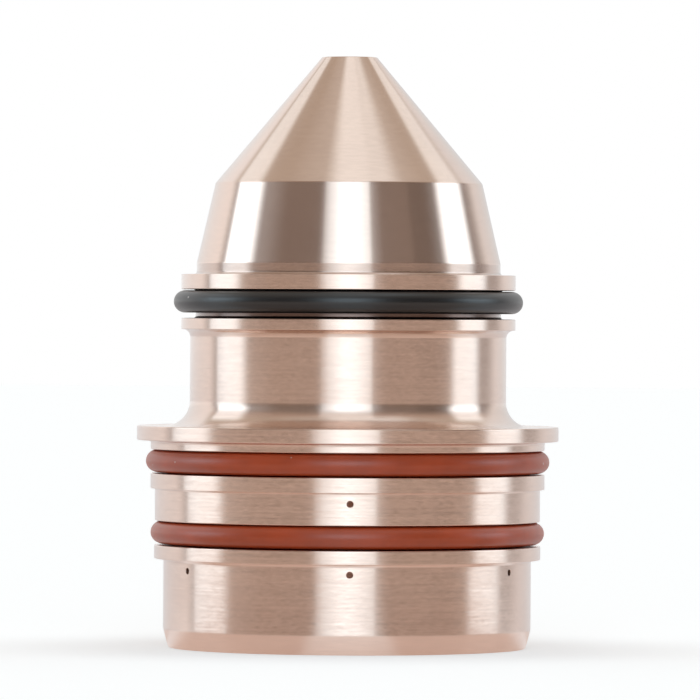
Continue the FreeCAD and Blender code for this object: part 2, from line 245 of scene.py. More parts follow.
inside = [
    (r_orifice + ORIFICE_CHAMFER, z_tip, FINE_EDGE),
    (r_orifice, z_tip - ORIFICE_CHAMFER, FINE_EDGE),
    (r_orifice, z_orifice, BORE_ROUND),
    (r_chamber, z_chamber, CHAMBER_ROUND),
    (r_chamber, z_seat, BORE_ROUND),
    (r_swirl, z_swirl, TOOL_NOSE),
    (r_swirl, z_bore, BORE_EDGE),
    (r_bore + RELIEF_DEPTH, z_bore, TOOL_NOSE),
    (r_bore + RELIEF_DEPTH, z_relief, TOOL_NOSE),
    (r_bore, z_relief, BORE_EDGE),
    *patch_rows(r_bore, z_land_ports)[::-1],
    *patch_rows(r_bore, z_skirt_ports)[::-1],
    (r_bore, MOUTH_CHAMFER, MOUTH_EDGE),
    (r_bore + MOUTH_CHAMFER, 0, BORE_EDGE),
]
corners = np.array(outside + inside, float)
print(len(corners), "corners in the profile")

# %% [markdown]
# ## From corners to a surface
# Each corner is replaced by an arc that is tangent to both of its sides. The arc begins at rounding times the
# tangent of half the turn before the corner, and its normal turns evenly from the normal of one side to that
# of the other. All the arcs are worked out together, as arrays.

# %% Round the corners
STEPS_PER_TURN = 20


def unit(vectors):
    """The same directions with length one."""
    return vectors / np.linalg.norm(vectors, axis=-1, keepdims=True)


def rounded_profile(points, rounding):
    """Points and outward normals of a closed profile whose corners are rounded.

    The profile runs with the metal on its left. At each corner the heading turns by an angle, positive to
    the left, and an arc of the rounding's radius takes the corner's place. Its centre lies on the inner side
    of the turn, and a point of the arc is the centre plus the radius times the outward normal there, or
    minus it where the profile turns to the right.
    """
    arriving = unit(points - np.roll(points, 1, axis=0))
    leaving = unit(np.roll(points, -1, axis=0) - points)
    cross = arriving[:, 0] * leaving[:, 1] - arriving[:, 1] * leaving[:, 0]
    turn = np.arctan2(cross, (arriving * leaving).sum(axis=1))
    heading = np.arctan2(arriving[:, 1], arriving[:, 0])
    side = np.sign(turn)
    arriving_normal = np.stack([arriving[:, 1], -arriving[:, 0]], axis=1)
    start = points - arriving * (rounding * np.abs(np.tan(turn / 2)))[:, None]
    centre = start - arriving_normal * (side * rounding)[:, None]

    steps = np.ceil(np.abs(turn) / (2 * np.pi) * STEPS_PER_TURN * (1 + np.sqrt(rounding))).astype(int)
    steps[rounding == 0] = 0
    owner = np.repeat(np.arange(len(points)), steps + 1)
    first = np.repeat(np.cumsum(steps + 1) - (steps + 1), steps + 1)
    share = (np.arange(len(owner)) - first) / np.maximum(steps[owner], 1)
    angle = heading[owner] + turn[owner] * share
    normal = np.stack([np.sin(angle), -np.cos(angle)], axis=1)
    return centre[owner] + normal * (side * rounding)[owner][:, None], normal


profile, profile_normal = rounded_profile(corners[:, :2], corners[:, 2])
print(len(profile), "points in the rounded profile")

# %% [markdown]
# The profile is carried round the axis on a grid whose columns crowd together at the ports, where the small
# holes need fine cells, and lie further apart between them.

# %% Columns round the axis
CELLS_BETWEEN_PORTS = 36

patch_angle = PATCH_HALF / r_skirt
sector = 2 * np.pi / PORTS_ROUND
in_patch = np.linspace(-patch_angle, patch_angle, PATCH_CELLS + 1)
between_ports = np.linspace(patch_angle, sector - patch_angle, CELLS_BETWEEN_PORTS + 1)[1:-1]
one_sector = np.concatenate([in_patch, between_ports])
columns = (port_azimuths[:, None] + one_sector[None, :]).ravel()
print(len(columns), "columns")

# %% The grid of the turned body


def turned_grid(points, normals, angles):
    """A profile carried round the axis: x is radius * cos(angle), y is radius * sin(angle), z is height."""
    around = np.stack([np.cos(angles), np.sin(angles)], axis=1)
    place = np.empty((len(points), len(angles), 3))
    place[..., :2] = points[:, None, :1] * around[None]
    place[..., 2] = points[:, None, 1]
    facing = np.empty_like(place)
    facing[..., :2] = normals[:, None, :1] * around[None]
    facing[..., 2] = normals[:, None, 1]
    return place.reshape(-1, 3), facing.reshape(-1, 3)


def grid_faces(rows, cols):
    """Four-sided faces of a grid that is closed both ways, numbered row by row, that face outwards."""
    row, col = np.meshgrid(np.arange(rows), np.arange(cols), indexing="ij")
    here, above = row * cols, (row + 1) % rows * cols
    next_col = (col + 1) % cols
    return np.stack([here + col, here + next_col, above + next_col, above + col], axis=-1).reshape(-1, 4)


places, normals = turned_grid(profile, profile_normal, columns)
faces = grid_faces(len(profile), len(columns))
print(len(places), "points in the grid")

# %% [markdown]
# ## The ports
# A hole drilled through a curved wall could be cut with a Boolean modifier, but that leaves long thin faces
# that shade badly on polished metal. Here each hole is woven into the grid instead. Outside and inside, a
# square patch of cells is taken out, and rings of points lead from the square to the round rim, over the
# rim's small rounding, and down the wall of the hole.

# %% The edge of a port's patch


def patch_loop(first_row, first_col, row_step):
    """Grid numbers of the points on the edge of a square patch, once round, starting from a corner."""
    side = np.arange(PATCH_CELLS)
    rows = np.concatenate([0 * side, side, 0 * side + PATCH_CELLS, PATCH_CELLS - side])
    cols = np.concatenate([side, 0 * side + PATCH_CELLS, PATCH_CELLS - side, 0 * side])
    row_number = first_row + row_step * rows
    col_number = (first_col + cols) % len(columns)
    return row_number * len(columns) + col_number


def row_at(radius, height):
    """The row of the grid whose profile point is nearest to this radius and height."""
    return int(np.argmin(np.hypot(profile[:, 0] - radius, profile[:, 1] - height)))


print("the first skirt port's patch starts at row", row_at(r_skirt, z_skirt_ports - PATCH_HALF))

# %% Rings of a port
PATCH_RINGS, RIM_RINGS, TUBE_RINGS = 3, 4, 3


def port_rings(azimuth, height, radius, facing, square):
    """Rings of points and normals from a square patch to a hole's wall, on one side of a cylindrical wall.

    across and up are distances from the hole's axis, sideways and in height. A ring between the square and
    the rim is a mix of both. On the rim's rounding, the distance from the axis shrinks with the sine of a
    quarter turn while the depth grows with one minus its cosine. depth is counted into the metal, and facing
    is +1 outside and -1 in the bore.
    """
    across, up = square
    bearing = np.arctan2(up, across)
    spokes = np.stack([np.cos(bearing), np.sin(bearing)], axis=-1)
    mix = (np.arange(1, PATCH_RINGS + 1) / PATCH_RINGS)[:, None, None]
    flat_square = np.stack([across, up], axis=-1)[None]
    flat = (1 - mix) * flat_square + mix * spokes[None] * (PORT_RADIUS + PORT_RIM)
    quarter = (np.arange(1, RIM_RINGS + 1) / RIM_RINGS * np.pi / 2)[:, None, None]
    rim = spokes[None] * (PORT_RADIUS + PORT_RIM * (1 - np.sin(quarter)))
    plane = np.concatenate([flat, rim])
    depth = np.concatenate([np.zeros(PATCH_RINGS), (PORT_RIM * (1 - np.cos(quarter))).ravel()])[:, None]
    lean = np.concatenate([np.zeros(PATCH_RINGS), quarter.ravel()])[:, None]

    side = np.arcsin(plane[..., 0] / radius)
    outward = np.stack([np.cos(azimuth + side), np.sin(azimuth + side), 0 * side], axis=-1)
    axis = np.array([math.cos(azimuth), math.sin(azimuth), 0.0])
    sideways = np.array([-math.sin(azimuth), math.cos(azimuth), 0.0])
    upwards = np.array([0.0, 0.0, 1.0])
    points = outward * radius - axis * (facing * depth)[..., None]
    points[..., 2] = height + plane[..., 1]
    to_hole = -(spokes[:, :1] * sideways + spokes[:, 1:] * upwards)[None]
    facing_out = outward * facing * np.cos(lean)[..., None] + to_hole * np.sin(lean)[..., None]
    return points, unit(facing_out)


# %% Open one port


def ring_faces(loops):
    """Faces between loops of the same length, one after another, each closed on itself."""
    here, there = loops[:-1], loops[1:]
    around = [here, np.roll(here, -1, axis=1), np.roll(there, -1, axis=1), there]
    return np.stack(around, axis=-1).reshape(-1, 4)


def weave_port(number, wall_radius, height, first_new):
    """Opens one port, whose new points are numbered from first_new.

    Returns its points, its normals, its faces and the cells of the grid that it takes out.
    """
    azimuth = port_azimuths[number]
    first_col = number * len(one_sector)
    outer_row = row_at(wall_radius, height - PATCH_HALF)
    inner_row = row_at(r_bore, height - PATCH_HALF)
    outer_loop = patch_loop(outer_row, first_col, 1)
    inner_loop = patch_loop(inner_row, first_col, -1)
    side = (columns[outer_loop % len(columns)] - azimuth + np.pi) % (2 * np.pi) - np.pi
    up = places[outer_loop, 2] - height
    outer, outer_normal = port_rings(azimuth, height, wall_radius, 1, (wall_radius * np.sin(side), up))
    inner, inner_normal = port_rings(azimuth, height, r_bore, -1, (r_bore * np.sin(side), up))
    share = (np.arange(1, TUBE_RINGS + 1) / (TUBE_RINGS + 1))[:, None, None]
    tube = (1 - share) * outer[-1] + share * inner[-1]
    tube_normal = np.repeat(outer_normal[-1:], TUBE_RINGS, axis=0)

    points = np.concatenate([outer, tube, inner[::-1]])
    point_normals = np.concatenate([outer_normal, tube_normal, inner_normal[::-1]])
    numbers = first_new + np.arange(points[..., 0].size).reshape(points.shape[:2])
    loops = np.concatenate([outer_loop[None], numbers, inner_loop[None]])
    cell = np.arange(PATCH_CELLS)
    taken_cols = (first_col + cell) % len(columns)
    outer_cells = (outer_row + cell)[:, None] * len(columns) + taken_cols
    inner_cells = (inner_row - 1 - cell)[:, None] * len(columns) + taken_cols
    taken = np.concatenate([outer_cells, inner_cells]).ravel()
    return points.reshape(-1, 3), point_normals.reshape(-1, 3), ring_faces(loops), taken


# %% Weave in all the ports
rows_of_ports = [
    (r_skirt, z_skirt_ports, range(PORTS_ROUND)),
    (r_port_land, z_land_ports, range(0, PORTS_ROUND, 2)),
]

all_points, all_normals = places, normals
port_faces, taken_cells = [], []
for wall_radius, height, numbers in rows_of_ports:
    for number in numbers:
        points, facing, new_faces, taken = weave_port(number, wall_radius, height, len(all_points))
        all_points = np.concatenate([all_points, points])
        all_normals = np.concatenate([all_normals, facing])
        port_faces.append(new_faces)
        taken_cells.append(taken)

kept = np.ones(len(faces), bool)
kept[np.concatenate(taken_cells)] = False
all_faces = np.concatenate([faces[kept], *port_faces])
print(len(all_faces), "faces in the body, with", len(port_faces), "ports")

# %% Put a surface into a mesh


def make_piece(name, points_mm, point_normals, quads):
    """A mesh object at the origin from points in millimetres, with its own smooth normals."""
    mesh = bpy.data.meshes.new(name)
    mesh.from_pydata((points_mm * MM).tolist(), [], quads.tolist())
    mesh.polygons.foreach_set("use_smooth", np.ones(len(quads), bool))
    mesh.normals_split_custom_set_from_vertices(unit(point_normals).tolist())
    mesh.update()
    piece = bpy.data.objects.new(name, mesh)
    bpy.context.scene.collection.objects.link(piece)
    print(name, "has", len(mesh.vertices), "points and", len(mesh.polygons), "faces")
    return piece


nozzle = make_piece("copper_nozzle", all_points, all_normals, all_faces)

# %% [markdown]
# ## The seals
# An O-ring is a torus. Stretched on to its gland it grips the floor with a narrow flat, and that flat is the
# one place where its section leaves the circle. The section is carried round the axis on an even grid.

# %% The O-rings
SECTION_POINTS, RING_COLUMNS = 56, 288


def o_ring(name, facts):
    """A torus whose section is a circle cut off where it would pass through the floor of its gland."""
    bearing = np.linspace(0, 2 * np.pi, SECTION_POINTS, endpoint=False)
    circle = np.stack([np.cos(bearing), np.sin(bearing)], axis=1)
    section = circle * facts["section"] + [facts["middle"], facts["height"]]
    section[:, 0] = np.maximum(section[:, 0], facts["floor"])
    angles = np.linspace(0, 2 * np.pi, RING_COLUMNS, endpoint=False)
    ring_places, ring_normals = turned_grid(section, circle, angles)
    return make_piece(name, ring_places, ring_normals, grid_faces(SECTION_POINTS, RING_COLUMNS))


seals = {node: o_ring(node.replace("o_ring", "seal"), facts) for node, facts in rings.items()}

# %% [markdown]
# ## Finishes
# The materials and the studio are written as formulas. A small class stands for a number that changes over a
# surface or over the room, so that sums and products of such numbers read as they would on paper, and each
# becomes a Math node.

# %% Formulas as nodes


def plug(tree, value, socket):
    """Links a formula or a socket to an input, or sets the input where the value is plain."""
    value = value.socket if isinstance(value, Formula) else value
    if isinstance(value, bpy.types.NodeSocket):
        tree.links.new(value, socket)
    else:
        socket.default_value = value


class Formula:
    """A number worked out by a node tree. Sums, products and the like add Math nodes to the tree."""

    def __init__(self, tree, socket):
        self.tree, self.socket = tree, socket

    def math(self, operation, *others):
        node = self.tree.nodes.new("ShaderNodeMath")
        node.operation = operation
        plug(self.tree, self.socket, node.inputs[0])
        for slot_number, other in enumerate(others, 1):
            plug(self.tree, other, node.inputs[slot_number])
        return Formula(self.tree, node.outputs[0])

    def __add__(self, other):
        return self.math("ADD", other)

    def __sub__(self, other):
        return self.math("SUBTRACT", other)

    def __mul__(self, other):
        return self.math("MULTIPLY", other)

    def __truediv__(self, other):
        return self.math("DIVIDE", other)

    def rise(self, low, high):
        """0 below low, 1 above high, and a smooth rise between them."""
        node = self.tree.nodes.new("ShaderNodeMapRange")
        node.interpolation_type = "SMOOTHSTEP"
        plug(self.tree, self.socket, node.inputs["Value"])
        node.inputs["From Min"].default_value = low
        node.inputs["From Max"].default_value = high
        return Formula(self.tree, node.outputs["Result"])

    def fall(self, low, high):
        """1 below low, 0 above high, and a smooth fall between them."""
        return self.rise(low, high) * -1.0 + 1.0


def between(value, rise, fall):
    """1 between two soft edges and 0 outside: each edge is the stretch in which it rises or falls."""
    return value.rise(*rise) * value.fall(*fall)


# %% Vectors, noise and colours


def split_direction(tree, socket):
    """The x, y and z of a vector, as formulas."""
    node = tree.nodes.new("ShaderNodeSeparateXYZ")
    tree.links.new(socket, node.inputs[0])
    return [Formula(tree, output) for output in node.outputs]


def noise(tree, vector, fourth=0.0, scale=1.0, detail=2.0):
    """Perlin noise in four dimensions, from 0 to 1 about 0.5."""
    node = tree.nodes.new("ShaderNodeTexNoise")
    node.noise_dimensions = "4D"
    combine = tree.nodes.new("ShaderNodeCombineXYZ")
    for value, socket in zip(vector, combine.inputs):
        plug(tree, value, socket)
    tree.links.new(combine.outputs[0], node.inputs["Vector"])
    plug(tree, fourth, node.inputs["W"])
    node.inputs["Scale"].default_value = scale
    node.inputs["Detail"].default_value = detail
    return Formula(tree, node.outputs["Fac"])


def mix_colour(tree, amount, first, second, blend="MIX"):
    """The first colour where amount is 0 and the second where it is 1, or with ADD their sum at amount 1."""
    node = tree.nodes.new("ShaderNodeMix")
    node.data_type = "RGBA"
    node.blend_type = blend
    plug(tree, amount, node.inputs[0])
    plug(tree, first, node.inputs[6])
    plug(tree, second, node.inputs[7])
    return node.outputs[2]


def scaled(tree, amount, colour):
    """A colour or a vector times an amount."""
    node = tree.nodes.new("ShaderNodeVectorMath")
    node.operation = "SCALE"
    plug(tree, colour, node.inputs[0])
    plug(tree, amount, node.inputs["Scale"])
    return node.outputs[0]


def new_material(name):
    """A new material with a Principled shader. Returns the material, its tree and the shader."""
    material = bpy.data.materials.new(name)
    material.use_nodes = True
    tree = material.node_tree
    shader = next(node for node in tree.nodes if node.type == "BSDF_PRINCIPLED")
    print("new material:", name)
    return material, tree, shader


# %% [markdown]
# ### Turned copper
# Turning marks are rings: they depend on radius and height, and hardly on the bearing. Noise in four
# dimensions takes radius, height, and the cosine and sine of the bearing, so that it closes on itself behind
# the part. With the last two scaled low it draws long lines, and with them scaled up it draws short streaks
# and specks. The grooves between the marks are too fine to see. What is seen is that they spread light up and
# down, so the shader is anisotropic, with its sharp direction round the axis.
#
# A Bump node would tip the marks sideways too, and the edges of the pale reflections would look like
# leather. So the noise tips the normal itself, and only up or down, as a groove round the part does.

# %% Where a point lies on the turned part


def lathe_coordinates(tree):
    """Radius and height in millimetres, and the cosine and sine of the bearing, from Object coordinates."""
    coordinates = tree.nodes.new("ShaderNodeTexCoord")
    x, y, z = [value * (1 / MM) for value in split_direction(tree, coordinates.outputs["Object"])]
    radius = (x * x + y * y).math("SQRT")
    return radius, z, x / radius, y / radius


def rings_of(place, per_mm, around):
    """Noise in rings: so many marks to the millimetre, and how soon they change with the bearing."""
    radius, height, cosine, sine = place
    vector = (radius * per_mm, height * per_mm, cosine * around)
    return noise(radius.tree, vector, fourth=sine * around, detail=0.0)


# %% The colour of the copper
COPPER, COPPER_DULL = (0.85, 0.645, 0.54, 1.0), (0.79, 0.595, 0.50, 1.0)
# A brown for painted shade in the front gland, also laid a little on the neck.
GLAND_SHADE_BROWN = (0.16, 0.08, 0.055, 1.0)
STAIN_SIZE, STAIN_ROUND = 0.15, 1.5
STREAKS = (5.5, 10.0)


def copper_colour(tree, place, stain):
    """Clean copper, duller in clouds and streaks, with painted shade in brown below the front seal and a little
    of that brown at the neck.
    """
    radius, height = place[:2]
    tone = stain.rise(0.35, 0.65) * 0.6 + rings_of(place, *STREAKS).rise(0.3, 0.7) * 0.4
    colour = mix_colour(tree, tone, COPPER_DULL, COPPER)
    # Painted shade: the gland's floor between the lip and the front seal is darkened to brown, because the deep
    # slot lies in shade. The neck gets a little of the same brown.
    gap_top = z_lip + FRONT_GAPS[0]
    gap = between(height, (z_lip - 0.01, z_lip + 0.01), (gap_top + 0.03, gap_top + 0.08))
    neck = between(height, (z_shoulder, z_shoulder + 0.05), (z_neck - 0.1, z_neck))
    gland_shade_and_neck = gap * radius.fall(r_lip - 0.47, r_lip - 0.07) + neck * 0.3
    return mix_colour(tree, gland_shade_and_neck, colour, GLAND_SHADE_BROWN)


# %% The turning marks
LINES, SPECKS = (6.5, 1.5), (6.0, 30.0)
LINE_WEIGHT, STREAK_WEIGHT, SPECK_WEIGHT = 0.75, 0.45, 0.8
MARK_SLOPE = 0.1
FAINTER_ABOVE_FLANGE = 0.6


def marked_normal(tree, place):
    """The surface's own normal plus a little up or down, so that the marks tip it and never turn it aside."""
    marks = rings_of(place, *LINES) * LINE_WEIGHT
    marks = marks + rings_of(place, *STREAKS) * STREAK_WEIGHT
    marks = marks + rings_of(place, *SPECKS) * SPECK_WEIGHT
    marks = marks - (LINE_WEIGHT + STREAK_WEIGHT + SPECK_WEIGHT) / 2
    strength = place[1].fall(z_seat_land, z_flange) * (1 - FAINTER_ABOVE_FLANGE) + FAINTER_ABOVE_FLANGE
    tip = marks * strength * MARK_SLOPE
    coordinates = tree.nodes.new("ShaderNodeTexCoord")
    return mix_colour(tree, 1.0, coordinates.outputs["Normal"], scaled(tree, tip, (0.0, 0.0, 1.0)), "ADD")


# %% [markdown]
# The highlights of the photograph are paler than copper's own colour allows. A clear coat, as blurred as the
# metal, lays an uncoloured reflection over the coloured one and gives that paleness.

# %% Copper
COPPER_ROUGHNESS, STAIN_ROUGHNESS = 0.17, 0.04
COAT_IOR, COAT_ROUGHNESS = 1.8, 0.2


def turned_copper():
    """Bare copper with a fine turned finish."""
    material, tree, shader = new_material("turned_copper")
    place = lathe_coordinates(tree)
    radius, height, cosine, sine = place
    clouds = (radius * STAIN_SIZE, height * STAIN_SIZE, cosine * STAIN_ROUND)
    stain = noise(tree, clouds, fourth=sine * STAIN_ROUND, detail=3.0)
    plug(tree, copper_colour(tree, place, stain), shader.inputs["Base Color"])
    plug(tree, stain * STAIN_ROUGHNESS + COPPER_ROUGHNESS, shader.inputs["Roughness"])
    plug(tree, marked_normal(tree, place), shader.inputs["Normal"])
    tangent = tree.nodes.new("ShaderNodeTangent")
    tangent.direction_type = "RADIAL"
    tangent.axis = "Z"
    tree.links.new(tangent.outputs[0], shader.inputs["Tangent"])
    shader.inputs["Metallic"].default_value = 1.0
    shader.inputs["Anisotropic"].default_value = 1.0
    shader.inputs["Anisotropic Rotation"].default_value = 0.25
    shader.inputs["Coat Weight"].default_value = 1.0
    shader.inputs["Coat IOR"].default_value = COAT_IOR
    shader.inputs["Coat Roughness"].default_value = COAT_ROUGHNESS
    return material


copper = turned_copper()

# %% [markdown]
# ### Rubber
# The two rear seals are red-brown silicone and the front one is black nitrile. Both are moulded, so they are
# satin, with a soft broad shine, and they hold on to dust: pale specks about a tenth of a millimetre across.

# %% Rubber
RED_RUBBER, RED_SHINE = (0.54, 0.075, 0.019, 1.0), 0.28
BLACK_RUBBER, BLACK_SHINE = (0.010, 0.010, 0.011, 1.0), 0.25
DUST, DUST_SHARE, DUST_SIZE = (0.62, 0.58, 0.55, 1.0), 0.3, 0.35
DUST_CELLS_PER_MM, GRAIN_PER_MM, CLOUDS_PER_MM = 1.1, 9.0, 0.35
CLOUD_DARKNESS, GRAIN_ROUGHNESS, RUBBER_SPECULAR = 0.82, 0.1, 0.7
GRAIN_STRENGTH, GRAIN_HEIGHT = 0.35, 0.02


def rubber(name, colour, shine):
    """Satin moulded rubber with fine grain and specks of dust."""
    material, tree, shader = new_material(name)
    coordinates = tree.nodes.new("ShaderNodeTexCoord")
    place = [value * (1 / MM) for value in split_direction(tree, coordinates.outputs["Object"])]
    cloud = noise(tree, place, scale=CLOUDS_PER_MM, detail=3.0)
    grain = noise(tree, place, scale=GRAIN_PER_MM, detail=3.0)
    specks = tree.nodes.new("ShaderNodeTexVoronoi")
    specks.inputs["Scale"].default_value = DUST_CELLS_PER_MM / MM
    tree.links.new(coordinates.outputs["Object"], specks.inputs["Vector"])
    chance = split_direction(tree, specks.outputs["Color"])[0]
    speck_radius = (chance - (1 - DUST_SHARE)) * DUST_SIZE
    dusty = Formula(tree, specks.outputs["Distance"]).math("LESS_THAN", speck_radius)
    darker = tuple(CLOUD_DARKNESS * channel for channel in colour[:3]) + (1.0,)
    base = mix_colour(tree, cloud.rise(0.3, 0.7), darker, colour)
    plug(tree, mix_colour(tree, dusty, base, DUST), shader.inputs["Base Color"])
    plug(tree, grain * GRAIN_ROUGHNESS + shine, shader.inputs["Roughness"])
    shader.inputs["Specular IOR Level"].default_value = RUBBER_SPECULAR
    bump = tree.nodes.new("ShaderNodeBump")
    bump.inputs["Strength"].default_value = GRAIN_STRENGTH
    bump.inputs["Distance"].default_value = GRAIN_HEIGHT * MM
    plug(tree, grain, bump.inputs["Height"])
    tree.links.new(bump.outputs[0], shader.inputs["Normal"])
    return material


red = rubber("red_silicone", RED_RUBBER, RED_SHINE)
black = rubber("black_nitrile", BLACK_RUBBER, BLACK_SHINE)

# %% [markdown]
# ### Dress the pieces
# Each new piece takes the place of one plain solid of the model, which stays hidden under it. Nothing on the
# nozzle moves, so all four pieces ride on the one body there is.

# %% Dress the pieces


def dress(piece, material, node):
    """Gives a piece its finish and puts it in place of its CAD node."""
    piece.data.materials.append(material)
    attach(piece, "root")
    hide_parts(node)
    print(piece.name, "stands for", node)


dress(nozzle, copper, "nozzle_body")
dress(seals["rear_o_ring"], red, "rear_o_ring")
dress(seals["middle_o_ring"], red, "middle_o_ring")
dress(seals["front_o_ring"], black, "front_o_ring")

# %% [markdown]
# ## The studio
# Metal shows its surroundings, so the studio is half of the finish. The floor and the backdrop are white. One
# tall soft panel stands in front and one on either side, with dark gaps between them. Lamps would give hard
# shapes in the metal, so the room is a formula in the world shader, and each edge is as soft as it has to be.

# %% Rays that see, and rays that light


def rays_that_see(tree):
    """Two formulas: 1 for rays from the camera, and 1 for rays from a mirror or through glass."""
    path = tree.nodes.new("ShaderNodeLightPath")
    camera = Formula(tree, path.outputs["Is Camera Ray"])
    glossy = Formula(tree, path.outputs["Is Glossy Ray"])
    through = Formula(tree, path.outputs["Is Transmission Ray"])
    return camera, glossy.math("MAXIMUM", through)


# %% [markdown]
# ### The floor
# The floor is plain pale grey to the rays that gather light, so it keeps the nozzle's shadow. To the camera
# it also glows, which lifts it to white, and close to the nozzle a soft painted shadow dims that glow. The
# metal sees a dimmer and warmer glow: a painted reflection of the copper by the foot, brown in front, paler
# further away and behind, and painted light in three fans, one straight in front and one on each side, where
# the soft panels would shine on it.

# %% The floor
FLOOR_SIZE, FLOOR_GREY = 4.0, 0.64
CAMERA_GLOW = (0.53, 0.55, 0.56)
# The glow near the foot is a painted reflection of the copper, and the fans' glow is painted light from the
# panels.
NEAR_PAINTED_REFLECTION, FRONT_GLOW, FAR_GLOW = (0.34, 0.24, 0.20, 1.0), (0.17, 0.05, 0.0, 1.0), (0.39, 0.25, 0.17, 1.0)
BACK_GLOW, PAINTED_FAN_LIGHT = (0.26, 0.24, 0.25, 1.0), (0.24, 0.38, 0.46)
# The shadow's reach and depth set a painted shadow in the camera's glow.
SHADOW_REACH, SHADOW_DEPTH = (0.014, 0.034), 0.2
NEAR_REACH, FRONT_REACH, FAN_REACH = (0.017, 0.026), (0.05, 0.15), (0.014, 0.024)
BACK_EDGE, FRONT_FAN, SIDE_FANS = (0.05, 0.3), (-0.98, -0.95), ((-0.35, -0.02), (0.15, 0.3))
FAN_AT_FOOT = 0.4


def floor_glow(tree, distance, back):
    """The glow that the metal sees, by the distance from the axis in metres and by the sine of the bearing,
    with a painted copper reflection by the foot and painted light in three fans.

    back is that sine: -1 straight in front of the nozzle, 0 at its sides and +1 behind it.
    """
    glow = mix_colour(tree, distance.rise(*FRONT_REACH), FRONT_GLOW, FAR_GLOW)
    glow = mix_colour(tree, back.rise(*BACK_EDGE), glow, BACK_GLOW)
    # Painted reflection: by the foot, the floor shows the metal the copper's own colour.
    glow = mix_colour(tree, distance.rise(*NEAR_REACH), NEAR_PAINTED_REFLECTION, glow)
    # Painted light: three fans, one in front and one on each side, where the panels would shine on the floor.
    fans = back.fall(*FRONT_FAN) + between(back, *SIDE_FANS)
    fans = fans * (distance.rise(*FAN_REACH) * (1 - FAN_AT_FOOT) + FAN_AT_FOOT)
    return mix_colour(tree, 1.0, glow, scaled(tree, fans, PAINTED_FAN_LIGHT), "ADD")


def white_floor():
    """A pale floor that keeps the shadow, with a glow for the rays that see it and a painted shadow in the
    camera's glow near the nozzle.
    """
    material, tree, shader = new_material("white_floor")
    shader.inputs["Base Color"].default_value = (FLOOR_GREY, FLOOR_GREY, FLOOR_GREY, 1.0)
    shader.inputs["Roughness"].default_value = 1.0
    shader.inputs["Specular IOR Level"].default_value = 0.0
    camera, mirrored = rays_that_see(tree)
    coordinates = tree.nodes.new("ShaderNodeTexCoord")
    x, y, z = split_direction(tree, coordinates.outputs["Object"])
    distance = (x * x + y * y).math("SQRT")
    glow = floor_glow(tree, distance, y / distance)
    # Painted shadow: the camera's glow is dimmed close to the nozzle.
    seen = scaled(tree, distance.fall(*SHADOW_REACH) * -SHADOW_DEPTH + 1.0, CAMERA_GLOW)
    plug(tree, mix_colour(tree, mirrored, seen, glow), shader.inputs["Emission Color"])
    plug(tree, camera.math("MAXIMUM", mirrored), shader.inputs["Emission Strength"])
    return material


half = FLOOR_SIZE / 2
floor_corners = [(-half, -half, 0), (half, -half, 0), (half, half, 0), (-half, half, 0)]
floor_mesh = bpy.data.meshes.new("studio_floor")
floor_mesh.from_pydata(floor_corners, [], [(0, 1, 2, 3)])
floor = bpy.data.objects.new("studio_floor", floor_mesh)
bpy.context.scene.collection.objects.link(floor)
floor.data.materials.append(white_floor())

# %% [markdown]
# ### The room
# The world shader is asked for the light from each direction. For metal, it is easier to say it by the wall
# that shows that direction to the front. Such a wall faces halfway between the light and the front, so the
# two directions are added: the bearing of the sum is called facing, from the front and positive to the
# right, and its rise above the level is called lean. Upright walls have lean 0, the taper 13 and the cone
# 40, and the cove above the flange has every lean from 0 to 90. So each edge below is written where it shows
# on the metal.

# %% Facing and lean
CAMERA_BEARING = -0.8


def facing_and_lean(x, y, z):
    """Facing and lean, in degrees, of the direction x, y, z plus the direction of the front."""
    front = math.radians(CAMERA_BEARING)
    across = x + math.sin(front)
    towards = (y - math.cos(front)) * -1.0
    to_degrees = 180 / math.pi
    facing = across.math("ARCTAN2", towards) * to_degrees - CAMERA_BEARING
    level = (across * across + towards * towards).math("SQRT")
    return facing, z.math("ARCTAN2", level) * to_degrees


# %% [markdown]
# Between the panels it is nearly dark at the level, as at the back of a dim room, and paler above. White
# walls begin beyond the side panels, and the nozzle shows them along its outline.

# %% The dark gaps and the white walls
DARK_LEVEL, DARK_RISING = (0.11, 0.08, 0.058, 1.0), (0.225, 0.19, 0.17, 1.0)
DARK_ABOVE, PEACH = (0.5, 0.43, 0.35, 1.0), (0.58, 0.43, 0.35, 1.0)
WALL_WHITE = (1.0, 1.0, 1.0)
LEFT_WALL, RIGHT_WALL, RIGHT_HINT = (54.5, 61.5), (60, 70), (52, 57)
WALL_LEVEL, FADE_ASIDE, RIGHT_WALL_LEAN = 1.68, -0.009, 0.22
SHADED = (24, 27), (36.5, 39.5)


def dark_gaps(tree, facing, lean):
    """The colour between the panels, which gets paler with lean and turns to peach twice on the cove."""
    low = mix_colour(tree, lean.rise(2, 10), DARK_LEVEL, DARK_RISING)
    right_shade = between(facing, *SHADED) * lean.fall(16, 30)
    low = scaled(tree, right_shade * -0.3 + 1.0, low)
    dark = mix_colour(tree, lean.rise(18, 40), low, DARK_ABOVE)
    peach = between(lean, (20, 28), (30, 36)) * 0.6 + lean.rise(50, 60)
    return mix_colour(tree, peach, dark, PEACH)


def walls_and_gaps(tree, facing, lean, left):
    """The dark gaps, with a white wall over them on each side. left is facing, positive to the left."""
    left_wall = left.rise(*LEFT_WALL)
    right_wall = facing.rise(*RIGHT_HINT) * 0.15 + (facing + lean * RIGHT_WALL_LEAN).rise(*RIGHT_WALL) * 0.85
    level = facing.math("ABSOLUTE") * FADE_ASIDE + WALL_LEVEL
    level = level * (facing.rise(0, 60) * -0.13 + 1.0) * (lean.rise(3, 12) * -0.14 + 1.0)
    wall = left_wall.math("MAXIMUM", right_wall)
    return mix_colour(tree, wall, dark_gaps(tree, facing, lean), scaled(tree, level, WALL_WHITE))


